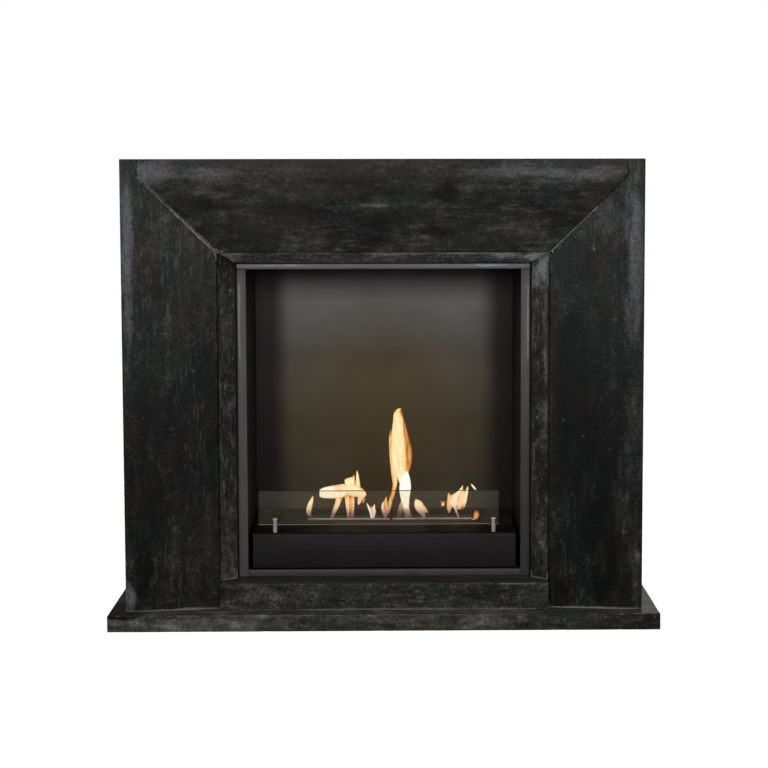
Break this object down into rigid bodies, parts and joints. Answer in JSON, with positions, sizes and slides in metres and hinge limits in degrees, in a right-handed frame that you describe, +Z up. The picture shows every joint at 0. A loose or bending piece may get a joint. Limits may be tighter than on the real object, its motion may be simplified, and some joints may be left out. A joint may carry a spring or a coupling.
{
  "type": "bioethanol fireplace",
  "caption": "Free-standing dark stone mantel on a hearth slab, with a steel firebox, twin slot burners with sliding lids, and a low glass pane on slotted pins.",
  "frame": {"origin": "on the floor under the middle of the hearth slab's outline", "axes": "+X along the mantel's width, +Y from the front to the wall, +Z up"},
  "size_m": [1.2, 0.47, 1.02],
  "materials": {
    "stone": "honed and waxed, near-black with grey-green clouding and worn pale edges",
    "zinc_steel": "zinc plated",
    "trim_steel": "satin graphite paint",
    "black_steel": "matt black heat-resistant paint",
    "black_knob": "matt black",
    "stainless": "brushed",
    "lid_steel": "satin black",
    "ceramic_wool": "matt fibre, scorched on top",
    "glass": "clear, polished edges"
  },
  "bodies": {
    "root": {"hearth_slab": "stone", "left_jamb": "stone", "right_jamb": "stone", "lintel": "stone", "left_side_panel": "stone", "right_side_panel": "stone", "top_panel": "stone", "left_slip": "stone", "right_slip": "stone", "top_slip": "stone", "sill_front": "stone", "sill_ledge": "stone", "sill_blocks": "stone", "corner_angles": "zinc_steel", "angle_screws": "zinc_steel", "wall_brackets": "zinc_steel", "bracket_screws": "zinc_steel", "left_bearer": "zinc_steel", "right_bearer": "zinc_steel", "trim_screws": "zinc_steel", "shield_posts": "zinc_steel", "shield_screws": "zinc_steel", "pin_nuts": "zinc_steel", "heat_shield": "zinc_steel", "trim_left": "trim_steel", "trim_right": "trim_steel", "trim_top": "trim_steel", "trim_bottom": "trim_steel", "firebox_floor": "black_steel", "firebox_back": "black_steel", "firebox_left_wall": "black_steel", "firebox_right_wall": "black_steel", "firebox_top": "black_steel", "firebox_flange": "black_steel", "cover_top": "black_steel", "cover_front": "black_steel", "cover_left_cheek": "black_steel", "cover_right_cheek": "black_steel", "cover_posts": "black_steel", "cover_knobs": "black_knob", "glass_pins": "stainless"},
    "glass_pane": {"glass_pane": "glass"},
    "left_burner": {"left_burner_deck": "stainless", "left_burner_tank": "stainless", "left_burner_wool": "ceramic_wool"},
    "right_burner": {"right_burner_deck": "stainless", "right_burner_tank": "stainless", "right_burner_wool": "ceramic_wool"},
    "left_lid": {"left_burner_lid": "lid_steel", "left_lid_pull": "lid_steel"},
    "right_lid": {"right_burner_lid": "lid_steel", "right_lid_pull": "lid_steel"}
  },
  "joints": [
    {"name": "glass_lift", "type": "slide", "parent": "root", "child": "glass_pane", "axis": [0, 0, 1], "range_m": [0, 0.06]},
    {"name": "left_burner_lift", "type": "slide", "parent": "root", "child": "left_burner", "axis": [0, 0, 1], "range_m": [0, 0.08]},
    {"name": "right_burner_lift", "type": "slide", "parent": "root", "child": "right_burner", "axis": [0, 0, 1], "range_m": [0, 0.08]},
    {"name": "left_lid_slide", "type": "slide", "parent": "left_burner", "child": "left_lid", "axis": [0, -1, 0], "range_m": [0, 0.05]},
    {"name": "right_lid_slide", "type": "slide", "parent": "right_burner", "child": "right_lid", "axis": [0, -1, 0], "range_m": [0, 0.05]}
  ]
}
